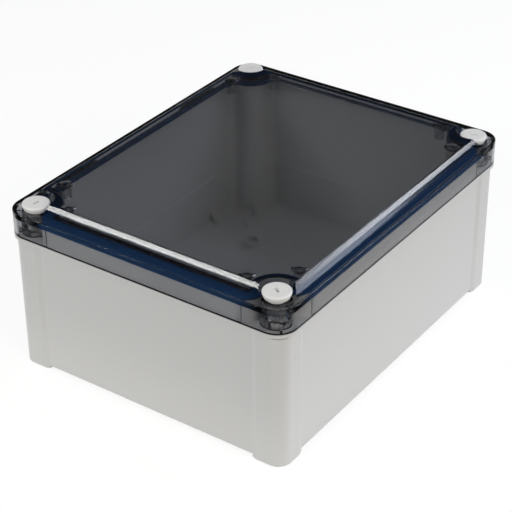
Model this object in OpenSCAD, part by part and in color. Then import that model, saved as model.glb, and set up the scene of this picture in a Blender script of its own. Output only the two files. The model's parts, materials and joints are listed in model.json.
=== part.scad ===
// Hinged wall box: grey polycarbonate base, smoked cover with a raised window,
// quarter-turn corner screws and two hinges on the back long side (-X).
// Frame: +Z up, origin at the centre of the footprint, underside of the feet at Z = 0.

/* [Overall] */
// Width over the cover, along X
width = 194; // [170:1:240]
// Length over the cover, along Y
length = 241; // [215:1:320]
// Height from the feet to the top face of the base flange
base_h = 88.8; // [70:0.1:130]
// Height of the cover's rim above its lower edge
cover_rim_h = 15.2; // [14:0.1:24]
// Outer corner radius of the cover and the flange
corner_r = 12.6; // [11:0.1:14]

/* [Base] */
// Thickness of the base walls and of the tongue
wall = 3; // [2.4:0.1:4]
// Thickness of the floor
floor_t = 3; // [2:0.1:6]
// Distance of the wall's outer face inside the flange face
wall_inset = 3.4; // [3.3:0.1:4]
// How far the corner columns stand proud of the walls
column_proud = 1; // [0.6:0.1:1.4]
// Width of a corner column on each face
column_w = 20.5; // [18:0.1:26]
// Outer corner radius of a column
column_r = 8.5; // [6:0.1:10]
// Width of the ramp at each side edge of a column
column_ramp = 3; // [1.5:0.1:5]
// Height of the feet below the walls
foot_h = 2; // [1:0.1:5]
// Height of the flange's upright face
flange_face_h = 2; // [1:0.1:4]
// Height of the sloped underside of the flange
flange_slope_h = 2.4; // [1:0.1:5]
// Height of the sealing tongue above the flange
tongue_h = 10.6; // [9:0.1:11]
// Height of the step in the inner wall face above the feet
inner_step_h = 36.5; // [20:0.5:60]
// Depth of the step in the inner wall face
inner_step = 0.4; // [0.2:0.1:1]

/* [Sealing line] */
// Radius of the tongue's outer face where it passes round a screw
seal_r = 9.5; // [9:0.1:10.5]
// Outer rounding of the tongue where it leaves a straight side
seal_fillet = 7.6; // [7.5:0.1:8.5]
// Width of the gasket
gasket_w = 6.2; // [5:0.1:6.3]
// Thickness of the gasket
gasket_t = 2.5; // [2.2:0.1:3]
// How far the gasket stands out of its channel
gasket_proud = 0.5; // [0.2:0.1:0.8]
// Sideways room between the tongue's outer face and the channel
gasket_out = 0.5; // [0.3:0.1:0.6]
// Thickness of the lip inside the gasket channel
lip_t = 1.2; // [1:0.1:1.2]

/* [Cover] */
// Thickness of the cover's skirt
skirt_t = 2.5; // [2:0.1:2.6]
// Gap between the flange and the cover's lower edge
skirt_gap = 0.4; // [0.2:0.1:0.8]
// Thickness of the rib from a screw's post to the corner of the skirt
corner_rib_t = 1.2; // [0.8:0.1:2]
// Width of the guide pads inside the skirt
guide_w = 2.4; // [1.5:0.1:4]
// How far the guide pads stand out of the skirt's inner face
guide_h = 0.6; // [0.3:0.1:0.6]
// Rounding of the cover's upper outer edge
edge_r = 0.6; // [0.5:0.1:2]
// Height of the window above the rim
window_rise = 5.1; // [3:0.1:9]
// Thickness of the window
window_t = 3; // [2:0.1:4]
// Distance of the window's upper edge inside the long faces
window_inset_x = 9; // [8:0.1:14]
// Distance of the window's upper edge inside the short faces
window_inset_y = 12.8; // [10:0.1:18]
// Width of the sloped face round the window
bevel_w = 3.7; // [2.5:0.1:4.5]
// Radius of the cove where the sloped face meets the rim
cove_r = 6; // [1:0.1:6.5]
// Rounding of the window's upper edge
window_edge_r = 1; // [0.4:0.1:1.5]
// Distance of the hollow's side inside the window's upper edge
hollow_inset = 1.3; // [1:0.1:3]
// How far the hollow's walls lean outward on the way down
hollow_draft = 0.8; // [0.3:0.1:1.2]
// Depth of the hollow bosses below the window
boss_h = 8.3; // [5:0.1:8.6]
// Diameter of a hollow boss
boss_d = 6.2; // [5:0.1:8]
// Diameter of a boss at its flared root
boss_ring_d = 9; // [8.2:0.1:10]
// Height of the flared root of a boss
boss_root_h = 1.4; // [0.6:0.1:2]
// Diameter of the pilot hole in a boss
boss_hole_d = 3.6; // [2:0.1:4]
// Distance along the short side from a screw's axis to the boss beside it
boss_along_x = 21.6; // [20:0.1:30]
// How far that boss lies inside the screw's axis
boss_in_x = 3.3; // [2:0.1:8]
// Distance along the long side from a screw's axis to the boss beside it
boss_along_y = 24; // [20:0.1:34]
// How far that boss lies inside the screw's axis
boss_in_y = 1.9; // [1:0.1:6]

/* [Cover screws] */
// Distance of a screw's axis inside both outer faces
screw_inset = 13.5; // [13.2:0.1:14]
// Diameter of a screw head
head_d = 16.2; // [15.6:0.1:17]
// Height of a screw head
head_h = 3.7; // [2.5:0.1:5]
// Rounding of a screw head's upper edge
head_edge_r = 0.8; // [0.3:0.1:1.2]
// Height of the upright band at the top of a screw head
head_band = 1.5; // [1.3:0.1:2.4]
// How much smaller the radius of a head is at its seat
head_taper = 0.8; // [0.3:0.1:0.8]
// Gap round a screw head in its recess
head_gap = 1.3; // [0.6:0.1:1.4]
// Depth of the recess that the head sits in
recess_h = 1; // [0.4:0.1:1.2]
// Length of the coin slot in a head
slot_l = 4.8; // [3:0.1:8]
// Width of the coin slot in a head
slot_w = 1.8; // [0.8:0.1:2]
// Depth of the coin slot in a head
slot_depth = 2.7; // [1:0.1:3]
// Diameter of the shank in the cover
shank_d = 10; // [9:0.1:10.4]
// Radial play of the shank in the cover
shank_play = 0.08; // [0.03:0.01:0.1]
// Diameter of the shank below the cover
tip_d = 7.2; // [6:0.1:7.4]
// Distance from a screw's axis to the end of a lug
lug_r = 6.4; // [6:0.1:6.8]
// Width of a lug
lug_w = 3.2; // [2.4:0.1:3.4]
// Height of a lug
lug_h = 2; // [1.5:0.1:3]
// Clearance between the lugs and the underside of the keyhole ledge
lug_gap = 1.8; // [1.7:0.1:2.4]
// Thickness of the keyhole ledge
ledge_t = 3; // [2:0.1:4]
// Radial clearance of the keyhole round the shank and lugs
keyhole_gap = 1.2; // [1:0.1:1.3]
// Section diameter of the seal under a head
seal_ring_d = 1.5; // [1.3:0.05:1.6]
// Thickness of the clip that holds a screw in the cover
clip_t = 1.1; // [0.8:0.1:1.3]
// Outer diameter of the clip
clip_d = 13; // [12:0.1:13.4]
// Height of the pocket for the clip in the underside of the cover
pocket_h = 5; // [4.6:0.1:6]
// How far a screw can lift before its clip stops it
screw_travel = 1.6; // [1.6:0.1:2]
// How far the first screw stands up from its seat
screw_lift_1 = 1.5; // [0:0.1:1.5]
// How far the third screw stands up from its seat
screw_lift_3 = 0.5; // [0:0.1:1.5]

/* [Fixings] */
// Diameter of the wall fixing holes in the feet
fixing_d = 5.5; // [4:0.1:6.5]
// Thickness of material under a fixing screw's head
fixing_seat_h = 9; // [5:0.5:20]
// Diameter of the channel above a fixing hole
channel_d = 15.2; // [15:0.1:16]
// Height of the floor bosses
floor_boss_h = 5; // [3:0.1:12]
// Diameter of the corner floor bosses
floor_boss_d = 7; // [6:0.1:9]
// Diameter of the pilot holes in the corner floor bosses
floor_hole_d = 3.4; // [2.5:0.1:4.5]
// Outer diameter of the ring bosses
ring_boss_d = 12; // [10:0.1:16]
// Inner diameter of the ring bosses
ring_bore_d = 8; // [5:0.1:9]
// Distance of a corner floor boss from the screw's axis, along both sides
floor_boss_in = 14; // [13:0.1:20]
// Diameter of the solid boss next to it
stud_d = 4; // [3:0.1:6]
// Distance of the solid boss from the screw's axis along the short side
stud_in_x = 17.5; // [14:0.1:24]
// Distance of the solid boss from the screw's axis along the long side
stud_in_y = 30.5; // [26:0.1:36]
// Distance of a ring boss from the screw's axis along the short side
ring_in_x = 34; // [28:0.1:40]
// Distance of a ring boss from the screw's axis along the long side
ring_in_y = 48.4; // [46:0.1:56]
// Distance of a wall stop from the screw's axis along the long side
stop_in_y = 38.5; // [36:0.1:44]
// Diameter of a wall stop, and its distance from the wall
stop_d = 6; // [4:0.1:8]
// Height of the moulding marks below the flange
mark_drop = 20; // [12:0.5:40]

/* [Hinges] */
// Distance of a hinge's middle from the end of the cover
hinge_end = 60.5; // [50:0.5:80]
// Length of a hinge along Y
hinge_l = 34; // [28:0.5:48]
// Diameter of the hinge pin
pin_d = 3; // [2.5:0.1:4]
// Outer diameter of a knuckle
knuckle_d = 7; // [6.6:0.1:7.4]
// Distance of the hinge axis outside the flange face
axis_out = 5.5; // [5:0.1:7]
// Distance of the hinge axis below the flange's top face
axis_drop = 3.8; // [3:0.1:5]
// Thickness of the hinge leaves
leaf_t = 2; // [1.6:0.1:2.4]
// Height of the leaf plate on the base
base_leaf_h = 20; // [16:0.5:30]
// Height of the leaf plate on the cover
cover_leaf_h = 8.6; // [8:0.1:9.4]
// Running clearance between knuckles, and round the pin on the cover side
knuckle_gap = 0.5; // [0.3:0.1:1]
// Radial play of the pin in the cover's knuckle
pin_play = 0.05; // [0.02:0.01:0.1]
// Thickness of the moulded pad under a cover leaf
cover_pad_t = 2.5; // [2:0.1:3]
// Thread diameter of the hinge screws
hinge_screw_d = 3; // [2.5:0.1:3.5]
// How far a hinge screw reaches into the base
base_screw_bite = 4.5; // [3.5:0.1:4.8]
// Distance of a hinge screw from the hinge's middle
hinge_screw_y = 10; // [7:0.5:12]

/* [Hidden] */
$fn = 64;
cut = 0.5;                                    // how far a cutting tool runs past a face

// Levels, upwards
floor_z = foot_h + floor_t;                   // inner face of the floor
flange_z = base_h - flange_face_h - flange_slope_h;
tongue_z = base_h + tongue_h;                 // top of the tongue, where the gasket rests
skirt_z = base_h + skirt_gap;                 // lower edge of the cover
rim_z = skirt_z + cover_rim_h;                // top face of the cover's rim
channel_z = tongue_z + gasket_t;              // roof of the gasket channel
under_z = tongue_z + gasket_proud;            // underside of the rim and its lip
window_z = rim_z + window_rise;               // top face of the window
roof_z = window_z - window_t;                 // underside of the window
recess_z = rim_z - recess_h;                  // seat of a screw head
ledge_z = base_h - ledge_t;                   // underside of the keyhole ledge
lug_z = ledge_z - lug_gap - lug_h;            // lower end of a screw
gland_z = recess_z - seal_ring_d - 0.1;       // floor of the gland under a head
bore_z = skirt_z + pocket_h;                  // roof of the pocket for a clip
clip_z = bore_z - 0.2 - screw_travel - clip_t; // lower face of a clip

// Plan positions
half_w = width / 2;
half_l = length / 2;
screw_x = half_w - screw_inset;
screw_y = half_l - screw_inset;
hinge_y = half_l - hinge_end;
axis_x = -half_w - axis_out;
axis_z = base_h - axis_drop;

// Screw and keyhole radii
head_r = head_d / 2;
shank_r = shank_d / 2;
tip_r = tip_d / 2;
recess_r = head_r + head_gap;
clip_in_r = shank_r - 0.7;                    // bottom of the clip's groove
keyhole_r = tip_r + keyhole_gap;
gland_r = shank_r + seal_ring_d + 0.5;
notch_foot_r = recess_r + 0.6;                // window's notch round a head, at the rim
notch_top_r = notch_foot_r + 1;               // and at the window's top face
post_r = seal_r - (wall_inset - skirt_t);     // post round a screw inside the skirt

// Hinge leaves
pad_x = -half_w + 0.4;                        // outer face of the pad on the base
cover_pad_x = -half_w - cover_pad_t;          // outer face of the pad on the cover
base_leaf_top = axis_z - knuckle_d / 2 - 1.1; // keeps the plate clear of the middle knuckle
cover_leaf_z = skirt_z + 1;                   // lower edge of the plate on the cover
knuckle_l = hinge_l * 0.55;                   // length of the cover's middle knuckle
screw_head_d = 5.6;
screw_head_h = 1.6;
hinge_hole_d = hinge_screw_d + 0.4;

base_grey = [0.78, 0.78, 0.77];
smoke = [0.22, 0.23, 0.25, 0.55];
navy = [0.05, 0.13, 0.24];
light_grey = [0.85, 0.85, 0.84];
hinge_grey = [0.62, 0.63, 0.63];
steel = [0.72, 0.72, 0.72];
black = [0.08, 0.08, 0.09];

CORNERS = [[1, -1], [-1, -1], [-1, 1], [1, 1]];
ENDS = [-1, 1];
SLOT_TURNS = [-32, 88, 40, 15];               // way that each head's slot points
SCREW_LIFTS = [screw_lift_1, 0, screw_lift_3, 0];

// ---- Plan shapes ----

module rounded_rect(w, l, r) {
    square([w - 2 * r, l], center = true);
    square([w, l - 2 * r], center = true);
    for (c = CORNERS) translate([c[0] * (w / 2 - r), c[1] * (l / 2 - r)]) circle(r);
}

// Repeats a shape drawn in the +X +Y quarter in all four quarters
module four_quarters() {
    children();
    mirror([1, 0, 0]) children();
    mirror([0, 1, 0]) children();
    mirror([1, 0, 0]) mirror([0, 1, 0]) children();
}

// Outline that the tongue and the gasket follow: straight along the sides and inside
// each corner screw. grow moves it outwards from the tongue's outer face.
module seal_outline(grow = 0) {
    r = seal_r - grow;
    side_x = half_w - wall_inset + grow;
    side_y = half_l - wall_inset + grow;
    notch_x = screw_x - r;
    notch_y = screw_y - r;
    rounded_rect(2 * notch_x, 2 * side_y, seal_fillet + grow);
    rounded_rect(2 * side_x, 2 * notch_y, seal_fillet + grow);
    four_quarters() difference() {
        translate([notch_x - 1, notch_y - 1]) square(r + 1);
        translate([screw_x, screw_y]) circle(r);
    }
}

// Plan of the four corner columns, with ramped side edges
module column_plan() {
    plane = wall_inset - column_proud;
    wall_x = half_w - wall_inset;
    wall_y = half_l - wall_inset;
    edge_x = wall_x + column_proud - column_w;
    edge_y = wall_y + column_proud - column_w;
    k = 1.5;                                  // carries the ramps past the column's face
    four_quarters() intersection() {
        rounded_rect(width - 2 * plane, length - 2 * plane, column_r);
        polygon([
            [edge_x, edge_y], [edge_x, wall_y], [edge_x + k * column_ramp, wall_y + k * column_proud],
            [wall_x + k * column_proud, wall_y + k * column_proud],
            [wall_x + k * column_proud, edge_y + k * column_ramp], [wall_x, edge_y]
        ]);
    }
}

// ---- Solid helpers ----

// Extrudes a plan shape between two levels
module slab(low, high) {
    translate([0, 0, low]) linear_extrude(high - low) children();
}

// Sweeps an edge profile round a rounded rectangle. In the profile, X is the distance
// outside the rectangle's outer face and Y is the height.
module swept_edge(w, l, r) {
    for (i = [0 : 3]) {
        c = [[1, 1], [-1, 1], [-1, -1], [1, -1]][i];
        translate([c[0] * (w / 2 - r), c[1] * (l / 2 - r), 0])
            rotate([0, 0, 90 * i]) rotate_extrude(angle = 90) translate([r, 0]) children();
    }
    for (s = [0, 180]) rotate([0, 0, s]) {
        translate([w / 2, l / 2 - r, 0]) rotate([90, 0, 0]) linear_extrude(l - 2 * r) children();
        rotate([0, 0, 90]) translate([l / 2, w / 2 - r, 0])
            rotate([90, 0, 0]) linear_extrude(w - 2 * r) children();
    }
}

// Puts a shape on a screw axis, in corner i
module at_screw(i) {
    translate([CORNERS[i][0] * screw_x, CORNERS[i][1] * screw_y, 0]) children();
}

// Puts a shape made along +X at a height on the back face, pointing outwards (-X)
module on_back(x, y, z) {
    translate([x, y, z]) rotate([0, -90, 0]) children();
}

// ---- Base ----

module base_shell() {
    slab(foot_h, base_h) rounded_rect(width - 2 * wall_inset, length - 2 * wall_inset,
                                      corner_r - wall_inset);
    slab(base_h - cut, tongue_z) seal_outline();
    slab(0, flange_z + cut) column_plan();
    swept_edge(width, length, corner_r) polygon([
        [-wall_inset - 1, flange_z], [-wall_inset, flange_z], [0, flange_z + flange_slope_h],
        [0, base_h], [-wall_inset - 1, base_h]
    ]);
}

module hinge_pad() {
    for (s = ENDS)
        translate([pad_x, s * hinge_y - hinge_l / 2, base_leaf_top - base_leaf_h - 2])
            cube([wall_inset, hinge_l, base_h - flange_face_h - (base_leaf_top - base_leaf_h - 2)]);
}

// Opening in a corner: keyhole through the ledge, room for the lugs to turn, and the
// wall fixing hole at the bottom
module corner_channel() {
    translate([0, 0, ledge_z - cut]) cylinder(h = ledge_t + 2 * cut, r = keyhole_r);
    translate([-lug_w / 2 - keyhole_gap, -lug_r - 0.8, ledge_z - cut])
        cube([lug_w + 2 * keyhole_gap, 2 * lug_r + 1.6, ledge_t + 2 * cut]);
    translate([0, 0, fixing_seat_h]) cylinder(h = ledge_z - fixing_seat_h, d = channel_d);
    translate([0, 0, -cut]) cylinder(h = fixing_seat_h + 2 * cut, d = fixing_d);
}

// Bosses on the floor beside each corner tower
module floor_bosses() {
    low = floor_z - cut;
    four_quarters() {
        translate([screw_x - floor_boss_in, screw_y - floor_boss_in, low]) difference() {
            cylinder(h = floor_boss_h + cut, d = floor_boss_d);
            translate([0, 0, cut + 0.6]) cylinder(h = floor_boss_h, d = floor_hole_d);
        }
        translate([screw_x - stud_in_x, screw_y - stud_in_y, low])
            cylinder(h = floor_boss_h * 0.6 + cut, d = stud_d);
        translate([screw_x - ring_in_x, screw_y - ring_in_y, low]) difference() {
            cylinder(h = floor_boss_h * 0.7 + cut, d = ring_boss_d);
            translate([0, 0, cut]) cylinder(h = floor_boss_h, d = ring_bore_d);
        }
        translate([half_w - wall_inset - wall - stop_d, screw_y - stop_in_y, low]) {
            cylinder(h = floor_boss_h + cut, d = stop_d);
            translate([0, -1, 0]) cube([stop_d, 2, floor_boss_h + cut]);
        }
    }
}

// Shallow round moulding marks on the columns and inside the box
module moulding_marks() {
    mark_r = 4;
    mark_z = base_h - mark_drop;
    four_quarters() {
        translate([screw_x, half_l - wall_inset + column_proud + mark_r - 0.3, mark_z]) sphere(mark_r);
        translate([half_w - wall_inset + column_proud + mark_r - 0.3, screw_y, mark_z]) sphere(mark_r);
    }
}

module base() {
    color(base_grey) difference() {
        union() {
            difference() {
                union() {
                    base_shell();
                    hinge_pad();
                }
                slab(inner_step_h, tongue_z + cut) seal_outline(-wall);
                slab(floor_z, inner_step_h + cut) seal_outline(-wall - inner_step);
            }
            floor_bosses();
        }
        for (i = [0 : 3]) at_screw(i) corner_channel();
        moulding_marks();
        for (s = ENDS, t = ENDS)
            on_back(pad_x, s * hinge_y + t * hinge_screw_y, base_leaf_top - base_leaf_h / 2)
                translate([0, 0, -wall_inset - wall + 1.5])
                    cylinder(h = wall_inset + wall, d = hinge_screw_d);
    }
}

// ---- Gasket ----

module gasket_plan() {
    difference() {
        seal_outline(gasket_out);
        seal_outline(gasket_out - gasket_w);
    }
}

module gasket() {
    color(navy) slab(tongue_z, channel_z) gasket_plan();
}

// ---- Cover ----

// Block with rounded corners: a core, and a band round it with a rounded upper edge
module cover_block() {
    slab(skirt_z, rim_z) rounded_rect(width - 2 * skirt_t, length - 2 * skirt_t, corner_r - skirt_t);
    swept_edge(width, length, corner_r) translate([-2 * skirt_t, skirt_z]) {
        square([2 * skirt_t, cover_rim_h - edge_r]);
        square([2 * skirt_t - edge_r, cover_rim_h]);
        translate([2 * skirt_t - edge_r, cover_rim_h - edge_r]) circle(edge_r);
    }
}

// Cross-section of the raised window, with a rounded upper edge, a sloped side and a cove
module window_profile(half, low) {
    slope = atan(window_rise / bevel_w);
    foot = half + bevel_w;
    toe = cove_r * tan(slope / 2);            // from the foot to where the cove starts
    lead = window_edge_r * tan(slope / 2);    // from the upper corner to where its rounding starts
    right = [
        [foot + toe, low], [foot + toe, rim_z],
        [foot - toe * cos(slope), rim_z + toe * sin(slope)],
        [half + lead * cos(slope), window_z - lead * sin(slope)], [half - lead, window_z]
    ];
    left = [for (i = [len(right) - 1 : -1 : 0]) [-right[i][0], right[i][1]]];
    difference() {
        polygon(concat(right, left));
        for (s = ENDS) translate([s * (foot + toe), rim_z + cove_r]) circle(cove_r);
    }
    for (s = ENDS) translate([s * (half - lead), window_z - window_edge_r]) circle(window_edge_r);
}

// Raised window, notched round the screw heads
module window_block() {
    low = rim_z - 1;
    difference() {
        intersection() {
            translate([0, half_l, 0]) rotate([90, 0, 0]) linear_extrude(length)
                window_profile(half_w - window_inset_x, low);
            translate([-half_w, 0, 0]) rotate([90, 0, 90]) linear_extrude(width)
                window_profile(half_l - window_inset_y, low);
        }
        for (i = [0 : 3]) at_screw(i) {
            translate([0, 0, rim_z])
                cylinder(h = window_rise + cut, r1 = notch_foot_r,
                         r2 = notch_top_r + cut * (notch_top_r - notch_foot_r) / window_rise);
            translate([0, 0, low - cut]) cylinder(h = rim_z - low + cut, r = notch_foot_r);
        }
    }
}

// Hollow inside the gasket's lip, narrower where it runs up under the window
module cover_hollow() {
    x = half_w - window_inset_x - hollow_inset;
    y = half_l - window_inset_y - hollow_inset;
    slab(under_z - cut, channel_z) lip_outline();
    intersection() {
        translate([0, half_l, 0]) rotate([90, 0, 0]) linear_extrude(length) hollow_profile(x);
        translate([-half_w, 0, 0]) rotate([90, 0, 90]) linear_extrude(width) hollow_profile(y);
        slab(under_z - cut, roof_z) lip_outline();
    }
}

// Section of the hollow: half_top wide to each side at the window's underside
module hollow_profile(half_top) {
    low = channel_z - 1;
    foot = half_top + hollow_draft * (roof_z - low) / (roof_z - channel_z);
    polygon([[-foot, low], [foot, low], [half_top, roof_z], [-half_top, roof_z]]);
}

module lip_outline() {
    seal_outline(gasket_out - gasket_w - lip_t);
}

// Two hollow bosses beside each screw, hanging from the window
module window_bosses() {
    four_quarters() for (p = [[screw_x - boss_along_x, screw_y - boss_in_x], [screw_x - boss_in_y, screw_y - boss_along_y]])
        translate([p[0], p[1], 0]) difference() {
            union() {
                translate([0, 0, roof_z - boss_h]) cylinder(h = boss_h + cut, d = boss_d);
                translate([0, 0, roof_z - boss_root_h]) cylinder(h = boss_root_h, d1 = boss_d, d2 = boss_ring_d);
                translate([0, 0, roof_z]) cylinder(h = cut, d = boss_ring_d);
            }
            translate([0, 0, roof_z - boss_h - cut]) cylinder(h = boss_h - 1.5, d = boss_hole_d);
        }
}

// Room inside the skirt for the tongue, with a post round each screw and a rib behind it
module skirt_cavity() {
    slab(skirt_z - cut, under_z) difference() {
        rounded_rect(width - 2 * skirt_t, length - 2 * skirt_t, corner_r - skirt_t);
        four_quarters() translate([screw_x, screw_y]) {
            circle(post_r);
            rotate(45) translate([0, -corner_rib_t / 2]) square([2 * screw_inset, corner_rib_t]);
        }
    }
}

// Upright pads inside the skirt that centre the cover on the tongue, where the tongue
// starts to turn in round a screw
module guide_pads() {
    x = screw_x - seal_r - seal_fillet;
    y = screw_y - seal_r - seal_fillet;
    four_quarters() slab(skirt_z, under_z + cut) {
        translate([x, half_l - skirt_t - guide_h]) square([guide_w, guide_h + 1]);
        translate([half_w - skirt_t - guide_h, y]) square([guide_h + 1, guide_w]);
    }
}

module cover_pads() {
    for (s = ENDS)
        translate([cover_pad_x, s * hinge_y - hinge_l / 2, skirt_z])
            cube([cover_pad_t + 1, hinge_l, cover_leaf_h + 3]);
}

// Recess, gland, bore and clip pocket for a screw
module screw_bore() {
    translate([0, 0, skirt_z - cut]) cylinder(h = pocket_h + cut, d = clip_d + 1.2);
    translate([0, 0, bore_z - cut]) cylinder(h = recess_z - bore_z + 2 * cut, r = shank_r + shank_play);
    translate([0, 0, gland_z]) cylinder(h = recess_z - gland_z + cut, r = gland_r);
    translate([0, 0, recess_z]) cylinder(h = recess_h + cut, r = recess_r);
}

module cover() {
    color(smoke) difference() {
        union() {
            difference() {
                union() {
                    cover_block();
                    window_block();
                    cover_pads();
                }
                skirt_cavity();
                slab(under_z - cut, channel_z) gasket_plan();
                cover_hollow();
            }
            window_bosses();
            guide_pads();
        }
        for (i = [0 : 3]) at_screw(i) screw_bore();
        for (s = ENDS, t = ENDS)
            on_back(cover_pad_x, s * hinge_y + t * hinge_screw_y, cover_leaf_z + cover_leaf_h / 2)
                translate([0, 0, -cover_pad_t - skirt_t + 0.9])
                    cylinder(h = cover_pad_t + skirt_t, d = hinge_screw_d);
    }
}

// ---- Cover screws ----

// Quarter-turn screw: head with a short slot, grooved shank and two lugs
module cover_screw(i) {
    color(light_grey) at_screw(i) translate([0, 0, SCREW_LIFTS[i]]) {
        difference() {
            union() {
                translate([0, 0, recess_z]) rotate_extrude() {
                    polygon([[0, 0], [head_r - head_taper, 0], [head_r, head_h - head_band],
                             [head_r, head_h - head_edge_r], [0, head_h - head_edge_r]]);
                    square([head_r - head_edge_r, head_h]);
                    translate([head_r - head_edge_r, head_h - head_edge_r]) circle(head_edge_r);
                }
                translate([0, 0, clip_z + clip_t]) cylinder(h = recess_z - clip_z - clip_t + cut, r = shank_r);
                translate([0, 0, clip_z]) cylinder(h = clip_t + cut, r = clip_in_r);
                translate([0, 0, clip_z - 0.8]) cylinder(h = 0.8, r = shank_r);
                translate([0, 0, lug_z]) cylinder(h = clip_z - lug_z, r = tip_r);
                intersection() {
                    translate([0, 0, lug_z]) cylinder(h = lug_h, r = lug_r);
                    translate([-lug_w / 2, -lug_r, lug_z]) cube([lug_w, 2 * lug_r, lug_h]);
                }
            }
            translate([0, 0, recess_z + head_h - slot_depth]) rotate([0, 0, SLOT_TURNS[i]])
                translate([-slot_l / 2, -slot_w / 2, 0]) cube([slot_l, slot_w, slot_depth + cut]);
        }
    }
}

module screw_seal(i) {
    color(black) at_screw(i) translate([0, 0, gland_z + seal_ring_d / 2])
        rotate_extrude() translate([shank_r + 0.3 + seal_ring_d / 2, 0]) circle(d = seal_ring_d, $fn = 32);
}

// Open snap ring in the shank's groove
module screw_clip(i) {
    color(steel) at_screw(i) translate([0, 0, clip_z + SCREW_LIFTS[i]]) difference() {
        cylinder(h = clip_t, d = clip_d);
        translate([0, 0, -cut]) cylinder(h = clip_t + 2 * cut, r = clip_in_r);
        translate([0, -clip_in_r * 0.75, -cut]) cube([clip_d, clip_in_r * 1.5, clip_t + 2 * cut]);
    }
}

// ---- Hinges ----

// Extrudes a profile drawn in X and Z along Y, centred on y
module along_y(y, l) {
    translate([0, y + l / 2, 0]) rotate([90, 0, 0]) linear_extrude(l) children();
}

// Flat plate on the back face with rounded corners, from x outwards
module leaf_plate(x, y, low, h) {
    translate([x, y, low + h / 2]) rotate([0, -90, 0]) linear_extrude(leaf_t)
        rounded_rect(h, hinge_l, 2.5);
}

module base_hinge_leaf(s) {
    y = s * hinge_y;
    arm_l = (hinge_l - knuckle_l) / 2 - knuckle_gap;
    color(hinge_grey) difference() {
        union() {
            leaf_plate(pad_x, y, base_leaf_top - base_leaf_h, base_leaf_h);
            for (t = ENDS) along_y(y + t * (hinge_l - arm_l) / 2, arm_l) {
                translate([axis_x, axis_z]) circle(d = knuckle_d);
                polygon([[axis_x, axis_z], [axis_x, axis_z - knuckle_d / 2],
                         [pad_x - leaf_t, base_leaf_top - 7], [pad_x, base_leaf_top - 7],
                         [pad_x, axis_z - 1.5], [pad_x - 1, axis_z]]);
            }
        }
        along_y(y, hinge_l + 2 * cut) translate([axis_x, axis_z]) circle(d = pin_d);
        for (t = ENDS) on_back(pad_x, y + t * hinge_screw_y, base_leaf_top - base_leaf_h / 2)
            translate([0, 0, -cut]) cylinder(h = leaf_t + 2 * cut, d = hinge_hole_d);
    }
}

module cover_hinge_leaf(s) {
    y = s * hinge_y;
    root_z = cover_leaf_z + (cover_leaf_h - screw_head_d) / 2 - 0.3;   // below the screw heads
    color(hinge_grey) difference() {
        union() {
            leaf_plate(cover_pad_x, y, cover_leaf_z, cover_leaf_h);
            along_y(y, knuckle_l) {
                translate([axis_x, axis_z]) circle(d = knuckle_d);
                polygon([[axis_x - knuckle_d / 2, axis_z], [axis_x, axis_z], [cover_pad_x - 0.4, axis_z],
                         [cover_pad_x - 0.4, skirt_z - 0.4], [cover_pad_x, cover_leaf_z],
                         [cover_pad_x, root_z], [cover_pad_x - leaf_t, root_z]]);
            }
        }
        along_y(y, hinge_l) translate([axis_x, axis_z]) circle(d = pin_d + 2 * pin_play);
        for (t = ENDS) on_back(cover_pad_x, y + t * hinge_screw_y, cover_leaf_z + cover_leaf_h / 2)
            translate([0, 0, -cut]) cylinder(h = leaf_t + 2 * cut, d = hinge_hole_d);
    }
}

module hinge_pin(s) {
    color(steel) along_y(s * hinge_y, hinge_l) translate([axis_x, axis_z]) circle(d = pin_d);
}

// Pan-head screw along +Z with its seat at Z = 0
module pan_screw(l) {
    difference() {
        union() {
            translate([0, 0, -l]) cylinder(h = l + 0.2, d = hinge_screw_d);
            cylinder(h = screw_head_h * 0.5, d = screw_head_d);
            translate([0, 0, screw_head_h * 0.5])
                cylinder(h = screw_head_h * 0.5, d1 = screw_head_d, d2 = screw_head_d * 0.7);
        }
        for (a = [0, 90]) rotate([0, 0, a]) translate([-1.3, -0.25, screw_head_h - 0.9]) cube([2.6, 0.5, 1]);
    }
}

module base_hinge_screws(s) {
    color(steel) for (t = ENDS)
        on_back(pad_x - leaf_t, s * hinge_y + t * hinge_screw_y, base_leaf_top - base_leaf_h / 2)
            pan_screw(leaf_t + base_screw_bite);
}

module cover_hinge_screws(s) {
    color(steel) for (t = ENDS)
        on_back(cover_pad_x - leaf_t, s * hinge_y + t * hinge_screw_y, cover_leaf_z + cover_leaf_h / 2)
            pan_screw(leaf_t + cover_pad_t + 1.4);
}

base();
cover();
gasket();
for (i = [0 : 3]) {
    cover_screw(i);
    screw_seal(i);
    screw_clip(i);
}
for (i = [0 : 1]) {
    base_hinge_leaf(ENDS[i]);
    cover_hinge_leaf(ENDS[i]);
    hinge_pin(ENDS[i]);
    base_hinge_screws(ENDS[i]);
    cover_hinge_screws(ENDS[i]);
}
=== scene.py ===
"""Hinged wall box in light grey polycarbonate with a smoked, see-through cover.

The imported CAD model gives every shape. This script gives each node its finish and sets
the studio: lamps, a white background and the camera.
"""

from __future__ import annotations

import json
import logging
import math
from dataclasses import dataclass
from enum import Enum
from typing import Any

import bmesh
import bpy
from mathutils import Matrix, Quaternion, Vector

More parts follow.
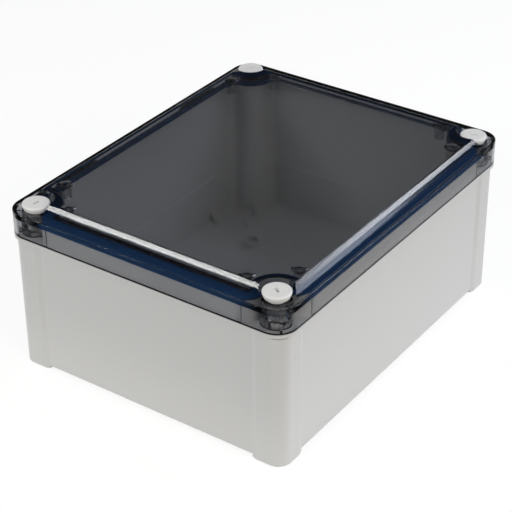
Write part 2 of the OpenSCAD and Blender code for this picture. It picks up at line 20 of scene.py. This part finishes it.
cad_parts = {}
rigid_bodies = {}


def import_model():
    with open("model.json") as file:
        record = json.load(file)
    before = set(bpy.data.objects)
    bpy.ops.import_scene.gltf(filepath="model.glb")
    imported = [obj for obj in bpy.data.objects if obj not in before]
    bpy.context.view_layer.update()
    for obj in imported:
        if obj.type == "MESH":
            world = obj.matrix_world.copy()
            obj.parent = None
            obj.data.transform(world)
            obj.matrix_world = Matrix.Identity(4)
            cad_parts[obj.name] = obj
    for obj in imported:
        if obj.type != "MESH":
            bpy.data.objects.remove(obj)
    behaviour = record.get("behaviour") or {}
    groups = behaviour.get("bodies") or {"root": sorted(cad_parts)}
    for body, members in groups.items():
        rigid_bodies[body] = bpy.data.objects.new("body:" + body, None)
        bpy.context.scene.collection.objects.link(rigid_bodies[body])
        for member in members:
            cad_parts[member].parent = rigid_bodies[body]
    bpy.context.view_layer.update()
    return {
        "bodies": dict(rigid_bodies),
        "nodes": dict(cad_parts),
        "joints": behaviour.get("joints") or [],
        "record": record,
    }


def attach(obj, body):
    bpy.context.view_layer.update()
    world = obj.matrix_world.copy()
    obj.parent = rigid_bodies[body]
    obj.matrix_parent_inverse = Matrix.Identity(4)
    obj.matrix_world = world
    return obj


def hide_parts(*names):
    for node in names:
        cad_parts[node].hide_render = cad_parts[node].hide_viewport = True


LOG = logging.getLogger("enclosure")
WHITE = (1.0, 1.0, 1.0, 1.0)
MM_PER_M = 1000.0
BUMP_M = 0.0002  # height of a moulded or foamed skin's relief
SAME_M = 1e-6  # points closer than this are one point
MIX_FROM, MIX_TO, MIX_RESULT = 6, 7, 2  # sockets of a Mix node that mixes colours


class Body(Enum):
    """Moving bodies that new pieces ride on."""

    COVER = "cover"


def linear(hex_colour: str) -> tuple[float, float, float, float]:
    """Converts an sRGB hex colour to linear light.

    Args:
        hex_colour: Six hex digits, with or without a leading hash.

    Returns:
        The linear red, green and blue, and an alpha of 1.
    """
    digits = hex_colour.lstrip("#")
    channels = (int(digits[i : i + 2], 16) / 255 for i in (0, 2, 4))
    r, g, b = (c / 12.92 if c <= 0.04045 else ((c + 0.055) / 1.055) ** 2.4 for c in channels)
    return (r, g, b, 1.0)


def lighter(hex_colour: str, amount: float) -> str:
    """Mixes a colour with white.

    Args:
        hex_colour: Six hex digits, with or without a leading hash.
        amount: Share of white, from 0 to 1.

    Returns:
        The new colour as hex digits.
    """
    digits = hex_colour.lstrip("#")
    channels = (int(digits[i : i + 2], 16) for i in (0, 2, 4))
    return "".join(f"{round(c + (255 - c) * amount):02x}" for c in channels)


def add_node(
    tree: bpy.types.NodeTree, kind: str, links: dict | None = None, **settings: Any,
) -> bpy.types.Node:
    """Adds a node, sets its options and sockets, and wires its inputs.

    Args:
        tree: The node tree to add to.
        kind: The node's type name.
        links: Input socket name or index, to the output socket that feeds it.
        **settings: Attributes of the node, or "inputs", a dict of socket name or index to value.

    Returns:
        The new node.
    """
    node = tree.nodes.new(kind)
    for socket, value in settings.pop("inputs", {}).items():
        node.inputs[socket].default_value = value
    for name, value in settings.items():
        setattr(node, name, value)
    for socket, source in (links or {}).items():
        tree.links.new(source, node.inputs[socket])
    return node


class Finish:
    """A real finish that becomes one material."""

    name: str

    def build(self) -> bpy.types.Material:
        """Makes the material.

        Returns:
            The material, with an output node wired up.
        """
        material = bpy.data.materials.new(self.name)
        material.use_nodes = True
        tree = material.node_tree
        tree.nodes.clear()
        output = add_node(tree, "ShaderNodeOutputMaterial")
        self.wire(tree, output)
        return material

    def wire(self, tree: bpy.types.NodeTree, output: bpy.types.Node) -> None:
        """Adds the finish's nodes to the material's tree and wires them to its output node."""
        raise NotImplementedError


@dataclass(frozen=True)
class MouldedPlastic(Finish):
    """Opaque injection-moulded plastic with a fine spark-eroded texture and softened edges.

    Attributes:
        name: The material's name.
        colour: Its colour.
        roughness: How far it spreads a reflection.
        grain: Strength of the texture.
        grain_mm: Width of a grain, in millimetres.
        edge: Radius that the light sees on a sharp edge, in metres.
        ior: Refractive index, that of polycarbonate.
    """

    name: str
    colour: str
    roughness: float = 0.42
    grain: float = 0.05
    # A spark-eroded mould leaves grains of about 0.05 mm, too fine to show, so they are drawn coarser
    grain_mm: float = 0.4
    edge: float = 0.0004
    ior: float = 1.58

    def wire(self, tree: bpy.types.NodeTree, output: bpy.types.Node) -> None:
        """Adds a Principled shader with grain over a rounded-edge normal.

        Args:
            tree: The material's node tree.
            output: Its output node.
        """
        place = add_node(tree, "ShaderNodeTexCoord")
        edge = add_node(tree, "ShaderNodeBevel", samples=6, inputs={"Radius": self.edge})
        noise = add_node(
            tree, "ShaderNodeTexNoise", {"Vector": place.outputs["Object"]},
            inputs={"Scale": MM_PER_M / self.grain_mm, "Detail": 2.0, "Roughness": 0.6},
        )
        bump = add_node(
            tree, "ShaderNodeBump", {"Height": noise.outputs["Fac"], "Normal": edge.outputs["Normal"]},
            inputs={"Strength": self.grain, "Distance": BUMP_M},
        )
        surface = add_node(
            tree, "ShaderNodeBsdfPrincipled", {"Normal": bump.outputs["Normal"]},
            inputs={"Base Color": linear(self.colour), "Roughness": self.roughness, "IOR": self.ior},
        )
        tree.links.new(surface.outputs["BSDF"], output.inputs["Surface"])


@dataclass(frozen=True)
class SmokedPolycarbonate(Finish):
    """Clear polycarbonate with a smoke tint through its thickness, polished all over, with a painted shadow along the
    skirt's lower edge.

    Attributes:
        name: The material's name.
        tint: Colour that white turns towards on the way through.
        absorption: How fast it does so, per metre.
        shadow: Share of light that each face lets pass into a shadow.
        ior: Refractive index.
        clarity: Roughness of what is seen through it.
        gloss: Roughness of what it mirrors.
        gap_shadow_z: Height of the cover below which a face is painted dark matt grey, a painted shadow for the shaded
            gap between skirt and base, in metres.
        gap_shadow_colour: Colour of that painted shadow.
    """

    name: str
    tint: str = "#8a8e98"
    absorption: float = 195.0
    shadow: str = "#f6f6f6"
    ior: float = 1.585
    clarity: float = 0.05
    gloss: float = 0.13
    # Painted shadow: faces of the skirt below this height are dark matt grey, in place of the gap's shade
    gap_shadow_z: float = 0.0893
    gap_shadow_colour: str = "#3a3b3d"

    def wire(self, tree: bpy.types.NodeTree, output: bpy.types.Node) -> None:
        """Adds a refractive shader that lets tinted light through to what it covers.

        Args:
            tree: The material's node tree.
            output: Its output node.
        """
        through = add_node(
            tree, "ShaderNodeBsdfRefraction",
            inputs={"Color": WHITE, "Roughness": self.clarity, "IOR": self.ior},
        )
        off = add_node(tree, "ShaderNodeBsdfGlossy", inputs={"Color": WHITE, "Roughness": self.gloss})
        fresnel = add_node(tree, "ShaderNodeFresnel", inputs={"IOR": self.ior})
        surface = add_node(
            tree, "ShaderNodeMixShader",
            {0: fresnel.outputs["Fac"], 1: through.outputs["BSDF"], 2: off.outputs["BSDF"]},
        )
        # Painted shadow along the skirt's lower edge
        surface = self._painted_gap_shadow(tree, surface)
        light_path = add_node(tree, "ShaderNodeLightPath")
        clear = add_node(tree, "ShaderNodeBsdfTransparent", inputs={"Color": linear(self.shadow)})
        mix = add_node(
            tree, "ShaderNodeMixShader",
            {0: light_path.outputs["Is Shadow Ray"], 1: surface.outputs["Shader"], 2: clear.outputs["BSDF"]},
        )
        smoke = add_node(
            tree, "ShaderNodeVolumeAbsorption",
            inputs={"Color": linear(self.tint), "Density": self.absorption},
        )
        tree.links.new(mix.outputs["Shader"], output.inputs["Surface"])
        tree.links.new(smoke.outputs["Volume"], output.inputs["Volume"])

    def _painted_gap_shadow(self, tree: bpy.types.NodeTree, surface: bpy.types.Node) -> bpy.types.Node:
        """Paints the skirt's lowest faces dark matt grey, a painted shadow for the shaded gap between skirt and base.

        Args:
            tree: The node tree to add to.
            surface: The polished surface's shader.

        Returns:
            The shader for the whole cover.
        """
        place = add_node(tree, "ShaderNodeTexCoord")
        height = add_node(tree, "ShaderNodeSeparateXYZ", {"Vector": place.outputs["Object"]})
        low = add_node(tree, "ShaderNodeMath", {0: height.outputs["Z"]}, operation="LESS_THAN", inputs={1: self.gap_shadow_z})
        # Painted shadow: a dark diffuse colour on the skirt's lowest faces
        matt = add_node(tree, "ShaderNodeBsdfDiffuse", inputs={"Color": linear(self.gap_shadow_colour)})
        return add_node(
            tree, "ShaderNodeMixShader",
            {0: low.outputs["Value"], 1: surface.outputs["Shader"], 2: matt.outputs["BSDF"]},
        )


@dataclass(frozen=True)
class Elastomer(Finish):
    """Foamed or moulded rubber with a matt, faintly uneven skin.

    Attributes:
        name: The material's name.
        colour: Its colour.
        roughness: How far it spreads a reflection.
        cell_mm: Width of a cell in the skin, in millimetres.
        relief: Strength of the cells' relief.
        mottle: Share of white in the paler cells.
        ior: Refractive index.
    """

    name: str
    colour: str
    roughness: float = 0.55
    # The foam's real cells are about 0.3 mm wide, too fine to show, so they are drawn coarser
    cell_mm: float = 1.2
    relief: float = 0.15
    mottle: float = 0.06
    ior: float = 1.5

    def wire(self, tree: bpy.types.NodeTree, output: bpy.types.Node) -> None:
        """Adds a Principled shader with a skin of small cells.

        Args:
            tree: The material's node tree.
            output: Its output node.
        """
        place = add_node(tree, "ShaderNodeTexCoord")
        cells = add_node(
            tree, "ShaderNodeTexNoise", {"Vector": place.outputs["Object"]},
            inputs={"Scale": MM_PER_M / self.cell_mm, "Detail": 3.0, "Roughness": 0.55},
        )
        shade = add_node(
            tree, "ShaderNodeMix", {"Factor": cells.outputs["Fac"]}, data_type="RGBA",
            inputs={MIX_FROM: linear(self.colour), MIX_TO: linear(lighter(self.colour, self.mottle))},
        )
        bump = add_node(
            tree, "ShaderNodeBump", {"Height": cells.outputs["Fac"]},
            inputs={"Strength": self.relief, "Distance": BUMP_M},
        )
        surface = add_node(
            tree, "ShaderNodeBsdfPrincipled",
            {"Base Color": shade.outputs[MIX_RESULT], "Normal": bump.outputs["Normal"]},
            inputs={"Roughness": self.roughness, "IOR": self.ior},
        )
        tree.links.new(surface.outputs["BSDF"], output.inputs["Surface"])


@dataclass(frozen=True)
class Steel(Finish):
    """Stainless steel, turned or stamped, with fine tool marks.

    Attributes:
        name: The material's name.
        colour: Its colour.
        roughness: How far it spreads a reflection, on average.
        gloss_range: How far the marks vary that, to each side.
        mark_mm: Width of a tool mark, in millimetres.
        draw: Scale of the pattern along the marks, as a share of that across them.
        depth: Depth of a tool mark, in metres.
        cut: Strength of the marks.
    """

    name: str
    colour: str = "#c8c6c2"
    roughness: float = 0.28
    gloss_range: float = 0.08
    # The real marks are about 0.05 mm wide, too fine to show, so they are drawn coarser
    mark_mm: float = 0.3
    draw: float = 0.1
    depth: float = 0.0001
    cut: float = 0.1

    def wire(self, tree: bpy.types.NodeTree, output: bpy.types.Node) -> None:
        """Adds a metallic Principled shader with marks stretched along Y.

        Args:
            tree: The material's node tree.
            output: Its output node.
        """
        place = add_node(tree, "ShaderNodeTexCoord")
        stretch = add_node(
            tree, "ShaderNodeMapping", {"Vector": place.outputs["Object"]}, inputs={"Scale": (1, self.draw, 1)},
        )
        marks = add_node(
            tree, "ShaderNodeTexNoise", {"Vector": stretch.outputs["Vector"]},
            inputs={"Scale": MM_PER_M / self.mark_mm, "Detail": 2.0},
        )
        gloss = add_node(
            tree, "ShaderNodeMapRange", {"Value": marks.outputs["Fac"]},
            inputs={"To Min": self.roughness - self.gloss_range, "To Max": self.roughness + self.gloss_range},
        )
        bump = add_node(
            tree, "ShaderNodeBump", {"Height": marks.outputs["Fac"]},
            inputs={"Strength": self.cut, "Distance": self.depth},
        )
        surface = add_node(
            tree, "ShaderNodeBsdfPrincipled", {"Roughness": gloss.outputs["Result"], "Normal": bump.outputs["Normal"]},
            inputs={"Base Color": linear(self.colour), "Metallic": 1.0},
        )
        tree.links.new(surface.outputs["BSDF"], output.inputs["Surface"])


# Light grey polycarbonate of the base: matt, with a soft sheen
BASE_GREY = MouldedPlastic("Polycarbonate, light grey", "#cbcbc9")
# Polished smoked polycarbonate of the cover: dark over the box, with crisp reflections
SMOKED = SmokedPolycarbonate("Polycarbonate, smoked clear")
# Foamed-in-place polyurethane gasket: a deep, even blue under the clear rim
GASKET_NAVY = Elastomer("Polyurethane foam, dark blue", "#1b4a7c", 0.5)
# Glass-filled polyamide of the cover screws: the palest part, nearly white
SCREW_GREY = MouldedPlastic("Polyamide, white grey", "#eeedea", roughness=0.38, edge=0.00025)
# Black nitrile sealing rings: a dark line under each head
SEAL_BLACK = Elastomer("Nitrile rubber, black", "#141416")
# Grey polyamide of the hinge leaves: darker and a little duller than the base
HINGE_GREY = MouldedPlastic("Polyamide, mid grey", "#8f9191", roughness=0.45)
# Stainless pins, clips and hinge screws: small bright points
STAINLESS = Steel("Stainless steel")


@dataclass
class SubAssembly:
    """CAD nodes that share one finish.

    Attributes:
        nodes: Names of the CAD nodes.
        finish: What they are made of.
    """

    nodes: list[str]
    finish: Finish

    def dress(self, frame: dict) -> None:
        """Gives each node its finish.
        """
        material = self.finish.build()
        for name in self.nodes:
            node = frame["nodes"][name]
            for part_slot in node.material_slots:
                part_slot.material = material


@dataclass
class FoamedGasket:
    """Polyurethane gasket, foamed in place in the cover's channel.

    Attributes:
        node: The CAD node that it stands for.
        finish: What it is made of.
        bond: How far the foam keys into the channel's walls, in metres.
        crown: Rounding of the bead's free edges, in metres.
        crown_steps: Faces across each rounded edge.
        flat: Turn between faces below which they are one face, in degrees.
        sharp: Turn between faces above which their edge is a free edge, in radians.
    """

    node: str = "gasket"
    finish: Finish = GASKET_NAVY
    bond: float = 0.00005
    crown: float = 0.0004
    crown_steps: int = 3
    flat: float = 0.5
    sharp: float = 1.0

    def build(self, frame: dict) -> bpy.types.Object:
        """Makes the bead and puts it in the cover.


        Returns:
            The new piece.
        """
        source = frame["nodes"][self.node]
        bead = bmesh.new()
        bead.from_mesh(source.data)
        bmesh.ops.remove_doubles(bead, verts=bead.verts, dist=SAME_M)
        bmesh.ops.dissolve_limit(bead, angle_limit=math.radians(self.flat), verts=bead.verts, edges=bead.edges)
        bead.normal_update()
        self._grow(bead)
        self._crown(bead)
        mesh = bpy.data.meshes.new("foamed_gasket")
        bead.to_mesh(mesh)
        bead.free()
        mesh.materials.append(self.finish.build())
        piece = bpy.data.objects.new("foamed_gasket", mesh)
        bpy.context.scene.collection.objects.link(piece)
        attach(piece, Body.COVER.value)
        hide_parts(self.node)
        return piece

    def _grow(self, bead: bmesh.types.BMesh) -> None:
        """Presses the foam into the walls and the roof of the channel, and leaves its free face.

        Args:
            bead: The gasket's mesh.
        """
        moves = {vert: vert.normal * vert.calc_shell_factor() * self.bond for vert in bead.verts}
        for vert, move in moves.items():
            vert.co += Vector((move.x, move.y, max(0.0, move.z)))

    def _crown(self, bead: bmesh.types.BMesh) -> None:
        """Rounds the two lower edges.

        Args:
            bead: The gasket's mesh.
        """
        low = min(vert.co.z for vert in bead.verts)
        rims = [
            edge for edge in bead.edges
            if all(vert.co.z < low + SAME_M for vert in edge.verts) and edge.calc_face_angle(0.0) > self.sharp
        ]
        bmesh.ops.bevel(
            bead, geom=rims, offset=self.crown, offset_type="OFFSET", affect="EDGES",
            segments=self.crown_steps, profile=0.5, material=-1, clamp_overlap=True,
        )


def numbered(stem: str, count: int) -> list[str]:
    """Names of a repeated node.

    Args:
        stem: The name before the number.
        count: How many there are.

    Returns:
        The numbered names, from 1.
    """
    return [f"{stem}_{i}" for i in range(1, count + 1)]


@dataclass
class Softbox:
    """A flat studio light with an evenly bright face.

    Attributes:
        name: The lamp's name.
        place: Where its centre is, in metres.
        target: The point that it faces.
        size: Its width and height in metres.
        radiance: Brightness of its face, where 1 is the white background.
        colour: Its tint.
        roll: Turn of its face about its own axis, in degrees.
        mirrored: Whether polished surfaces show its face.
    """

    name: str
    place: tuple[float, float, float]
    target: tuple[float, float, float]
    size: tuple[float, float]
    radiance: float
    colour: str = "#ffffff"
    roll: float = 0.0
    mirrored: bool = True

    def build(self) -> None:
        """Adds the lamp to the scene."""
        lamp = bpy.data.lights.new(self.name, "AREA")
        lamp.shape = "RECTANGLE"
        lamp.size, lamp.size_y = self.size
        lamp.color = linear(self.colour)[:3]
        lamp.energy = self.radiance * self.size[0] * self.size[1] * math.pi
        holder = bpy.data.objects.new(self.name, lamp)
        holder.location = self.place
        way = Vector(self.target) - Vector(self.place)
        turn = way.to_track_quat("-Z", "Y") @ Quaternion((0, 0, 1), math.radians(self.roll))
        holder.rotation_euler = turn.to_euler()
        holder.visible_camera = False
        holder.visible_glossy = self.mirrored
        bpy.context.scene.collection.objects.link(holder)


@dataclass
class Studio:
    """Background, floor, lights and camera.

    Attributes:
        softboxes: The lamps.
        fill: Brightness of the room's walls where they light matt surfaces.
        ceiling: Brightness of the room's ceiling where it lights matt surfaces.
        wall_top: Where the walls start to fade into the ceiling, as the sine of the elevation.
        ceiling_edge: Where the ceiling's own brightness is reached, in the same measure.
        dark: Brightness of the unlit part of the room in reflections.
        backdrop: Level direction of the middle of the white backdrop.
        backdrop_half: Half of the backdrop's spread, in degrees.
        backdrop_fade: Half width of the fade at its ends, in degrees.
        backdrop_top: Height of the backdrop's upper edge, as the sine of its elevation.
        backdrop_soft: Half width of that edge's fade, in the same measure.
        table_z: Height of the table, just clear of the feet, in metres.
        table_glow: Brightness that the table shows of itself.
        table_shade: Share of the light on it that it adds, so that it keeps a faint shadow.
        paper: Colour of the table where it lights the object.
        floor_low: Corner of the white table nearest the camera, in metres.
        floor_high: The opposite corner.
        camera_place: Where the lens is, in metres.
        heading: Turn of the view about +Z, in degrees, from +Y.
        tilt: How far the view looks down, in degrees.
        roll: Turn of the picture, in degrees.
        lens: Focal length in millimetres.
        sensor: Width of the sensor, in millimetres.
    """

    softboxes: list[Softbox]
    fill: float = 0.55
    ceiling: float = 0.2
    wall_top: float = 0.15
    ceiling_edge: float = 0.8
    dark: float = 0.02
    backdrop: tuple[float, float, float] = (-0.575, 0.818, 0.0)
    backdrop_half: float = 58.0
    backdrop_fade: float = 5.0
    backdrop_top: float = 0.28
    backdrop_soft: float = 0.06
    table_z: float = -0.0004
    table_glow: float = 0.82
    table_shade: float = 0.24
    paper: str = "#f2f2f2"
    floor_low: tuple[float, float] = (-1.4, -0.16)
    floor_high: tuple[float, float] = (0.17, 1.8)
    camera_place: tuple[float, float, float] = (0.48637, -0.69839, 0.57554)
    heading: float = 35.13
    tilt: float = 31.94
    roll: float = -0.456
    lens: float = 114.98
    sensor: float = 36.0

    def build(self) -> None:
        """Sets up everything round the object."""
        self._world()
        self._floor()
        for softbox in self.softboxes:
            softbox.build()
        self._camera()
        self._render()

    @staticmethod
    def _seen(tree: bpy.types.NodeTree) -> bpy.types.NodeSocket:
        """Tells rays that look from rays that gather light.

        Args:
            tree: The node tree to add to.

        Returns:
            1 for camera, glossy and transmission rays before any matt bounce, and 0 for the rest.
        """
        path = add_node(tree, "ShaderNodeLightPath")
        mirror = add_node(
            tree, "ShaderNodeMath", {0: path.outputs["Is Glossy Ray"], 1: path.outputs["Is Transmission Ray"]},
            operation="MAXIMUM",
        )
        looks = add_node(
            tree, "ShaderNodeMath", {0: path.outputs["Is Camera Ray"], 1: mirror.outputs["Value"]},
            operation="MAXIMUM",
        )
        first = add_node(
            tree, "ShaderNodeMath", {0: path.outputs["Diffuse Depth"]}, operation="LESS_THAN", inputs={1: 0.5},
        )
        return add_node(
            tree, "ShaderNodeMath", {0: looks.outputs["Value"], 1: first.outputs["Value"]}, operation="MULTIPLY",
        ).outputs["Value"]

    def _world(self) -> None:
        """Adds a dark room with a white backdrop."""
        world = bpy.data.worlds.new("Studio")
        bpy.context.scene.world = world
        world.use_nodes = True
        tree = world.node_tree
        tree.nodes.clear()
        output = add_node(tree, "ShaderNodeOutputWorld")
        way = add_node(tree, "ShaderNodeTexCoord")
        level = add_node(tree, "ShaderNodeSeparateXYZ", {"Vector": way.outputs["Generated"]})
        ahead = add_node(
            tree, "ShaderNodeVectorMath", {0: way.outputs["Generated"]}, operation="DOT_PRODUCT",
            inputs={1: self.backdrop},
        )
        side = add_node(
            tree, "ShaderNodeMapRange", {"Value": ahead.outputs["Value"]}, interpolation_type="SMOOTHSTEP",
            inputs={"From Min": math.cos(math.radians(self.backdrop_half + self.backdrop_fade)),
                    "From Max": math.cos(math.radians(self.backdrop_half - self.backdrop_fade))},
        )
        top = add_node(
            tree, "ShaderNodeMapRange", {"Value": level.outputs["Z"]}, interpolation_type="SMOOTHSTEP",
            inputs={"From Min": self.backdrop_top - self.backdrop_soft,
                    "From Max": self.backdrop_top + self.backdrop_soft, "To Min": 1.0, "To Max": 0.0},
        )
        sheet = add_node(
            tree, "ShaderNodeMath", {0: side.outputs["Result"], 1: top.outputs["Result"]}, operation="MULTIPLY",
        )
        mirrored = add_node(
            tree, "ShaderNodeMapRange", {"Value": sheet.outputs["Value"]},
            inputs={"To Min": self.dark, "To Max": 1.0},
        )
        path = add_node(tree, "ShaderNodeLightPath")
        white = add_node(
            tree, "ShaderNodeMath", {0: mirrored.outputs["Result"], 1: path.outputs["Is Camera Ray"]},
            operation="MAXIMUM",
        )
        seen = add_node(
            tree, "ShaderNodeBackground", {"Strength": white.outputs["Value"]}, inputs={"Color": WHITE},
        )
        grade = add_node(
            tree, "ShaderNodeMapRange", {"Value": level.outputs["Z"]}, interpolation_type="SMOOTHSTEP",
            inputs={"From Min": self.wall_top, "From Max": self.ceiling_edge,
                    "To Min": self.fill, "To Max": self.ceiling},
        )
        room = add_node(
            tree, "ShaderNodeBackground", {"Strength": grade.outputs["Result"]}, inputs={"Color": WHITE},
        )
        mix = add_node(
            tree, "ShaderNodeMixShader",
            {0: self._seen(tree), 1: room.outputs["Background"], 2: seen.outputs["Background"]},
        )
        tree.links.new(mix.outputs["Shader"], output.inputs["Surface"])

    def _floor(self) -> None:
        """Adds the white table, which keeps the object's soft shadow."""
        (x0, y0), (x1, y1) = self.floor_low, self.floor_high
        top = bmesh.new()
        corners = [top.verts.new((x, y, self.table_z)) for x, y in ((x0, y0), (x1, y0), (x1, y1), (x0, y1))]
        top.faces.new(corners)
        mesh = bpy.data.meshes.new("table")
        top.to_mesh(mesh)
        top.free()
        table = bpy.data.objects.new("table", mesh)
        bpy.context.scene.collection.objects.link(table)
        mesh.materials.append(self._table_paper())

    def _table_paper(self) -> bpy.types.Material:
        """Makes white paper that looks as bright as the backdrop.

        Returns:
            The material.
        """
        material = bpy.data.materials.new("Paper, white")
        material.use_nodes = True
        tree = material.node_tree
        tree.nodes.clear()
        output = add_node(tree, "ShaderNodeOutputMaterial")
        matt = add_node(tree, "ShaderNodeBsdfDiffuse", inputs={"Color": linear(self.paper)})
        grey = self.table_shade
        shade = add_node(tree, "ShaderNodeBsdfDiffuse", inputs={"Color": (grey, grey, grey, 1.0)})
        glow = add_node(tree, "ShaderNodeEmission", inputs={"Color": WHITE, "Strength": self.table_glow})
        lit = add_node(tree, "ShaderNodeAddShader", {0: glow.outputs["Emission"], 1: shade.outputs["BSDF"]})
        mix = add_node(
            tree, "ShaderNodeMixShader",
            {0: self._seen(tree), 1: matt.outputs["BSDF"], 2: lit.outputs["Shader"]},
        )
        tree.links.new(mix.outputs["Shader"], output.inputs["Surface"])
        return material

    def _camera(self) -> None:
        """Adds the camera."""
        camera = bpy.data.cameras.new("camera")
        camera.sensor_width = self.sensor
        camera.lens = self.lens
        holder = bpy.data.objects.new("camera", camera)
        turn = (
            Matrix.Rotation(math.radians(self.heading), 4, "Z")
            @ Matrix.Rotation(math.radians(90 - self.tilt), 4, "X")
            @ Matrix.Rotation(math.radians(self.roll), 4, "Z")
        )
        holder.matrix_world = Matrix.Translation(self.camera_place) @ turn
        bpy.context.scene.collection.objects.link(holder)
        bpy.context.scene.camera = holder

    def _render(self) -> None:
        """Sets how far light is followed through the clear cover, and plain colours."""
        scene = bpy.context.scene
        cycles = scene.cycles
        cycles.max_bounces = 24
        cycles.diffuse_bounces = 5
        cycles.glossy_bounces = 8
        cycles.transmission_bounces = 20
        cycles.transparent_max_bounces = 24
        cycles.caustics_reflective = True
        cycles.caustics_refractive = True
        cycles.blur_glossy = 0.3
        cycles.sample_clamp_indirect = 4.0
        scene.view_settings.view_transform = "Standard"


def sub_assemblies() -> list[SubAssembly]:
    """Sorts the box's nodes by what they are made of.

    Returns:
        The sub-assemblies, in the order in which they are dressed.
    """
    return [
        SubAssembly(["base"], BASE_GREY),
        SubAssembly(["cover"], SMOKED),
        SubAssembly(numbered("cover_screw", 4), SCREW_GREY),
        SubAssembly(numbered("screw_seal", 4), SEAL_BLACK),
        SubAssembly(numbered("base_hinge_leaf", 2) + numbered("cover_hinge_leaf", 2), HINGE_GREY),
        SubAssembly(
            numbered("screw_clip", 4) + numbered("hinge_pin", 2)
            + numbered("base_hinge_screws", 2) + numbered("cover_hinge_screws", 2),
            STAINLESS,
        ),
    ]


def product_studio() -> Studio:
    """Sets the lamps that light the box.

    Returns:
        The studio, with its background and camera.
    """
    centre = (0.0, 0.0, 0.08)
    left_bevel = (0.0, -0.11, 0.107)
    right_bevel = (0.09, 0.0, 0.107)
    return Studio(
        softboxes=[
            Softbox("key left", (-0.586, -0.974, 0.70), left_bevel, (0.75, 0.16), 9.9, mirrored=False),
            Softbox("key right", (1.15, -0.35, 0.62), centre, (0.9, 0.7), 3.35, "#fff9f0", mirrored=False),
            Softbox("key top", (0.10, -0.25, 1.4), centre, (0.6, 0.6), 0.8, mirrored=False),
            Softbox("strip left", (-0.638, -0.943, 0.658), left_bevel, (0.56, 0.11), 12.5, roll=9.0),
            Softbox("strip right", (0.80, 0.85, 0.395), right_bevel, (0.36, 0.08), 9.0, "#f2f6ff"),
            Softbox(
                "panel right", (0.533, 0.60, 0.684), (0.09, -0.02, 0.105), (0.67, 0.35), 3.8, "#dbe8ff", roll=53.0,
            ),
        ],
    )


def main() -> None:
    """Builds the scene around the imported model: the box's finishes, its gasket and the studio."""
    logging.basicConfig(level=logging.INFO, format="%(name)s: %(message)s")
    bpy.ops.wm.read_factory_settings(use_empty=True)
    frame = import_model()
    for part in sub_assemblies():
        part.dress(frame)
        for name in part.nodes:
            LOG.info("%s: %s", name, part.finish.name)
    gasket = FoamedGasket().build(frame)
    LOG.info("%s: %s, %d faces", gasket.name, GASKET_NAVY.name, len(gasket.data.polygons))
    product_studio().build()


if __name__ == "__main__":
    main()
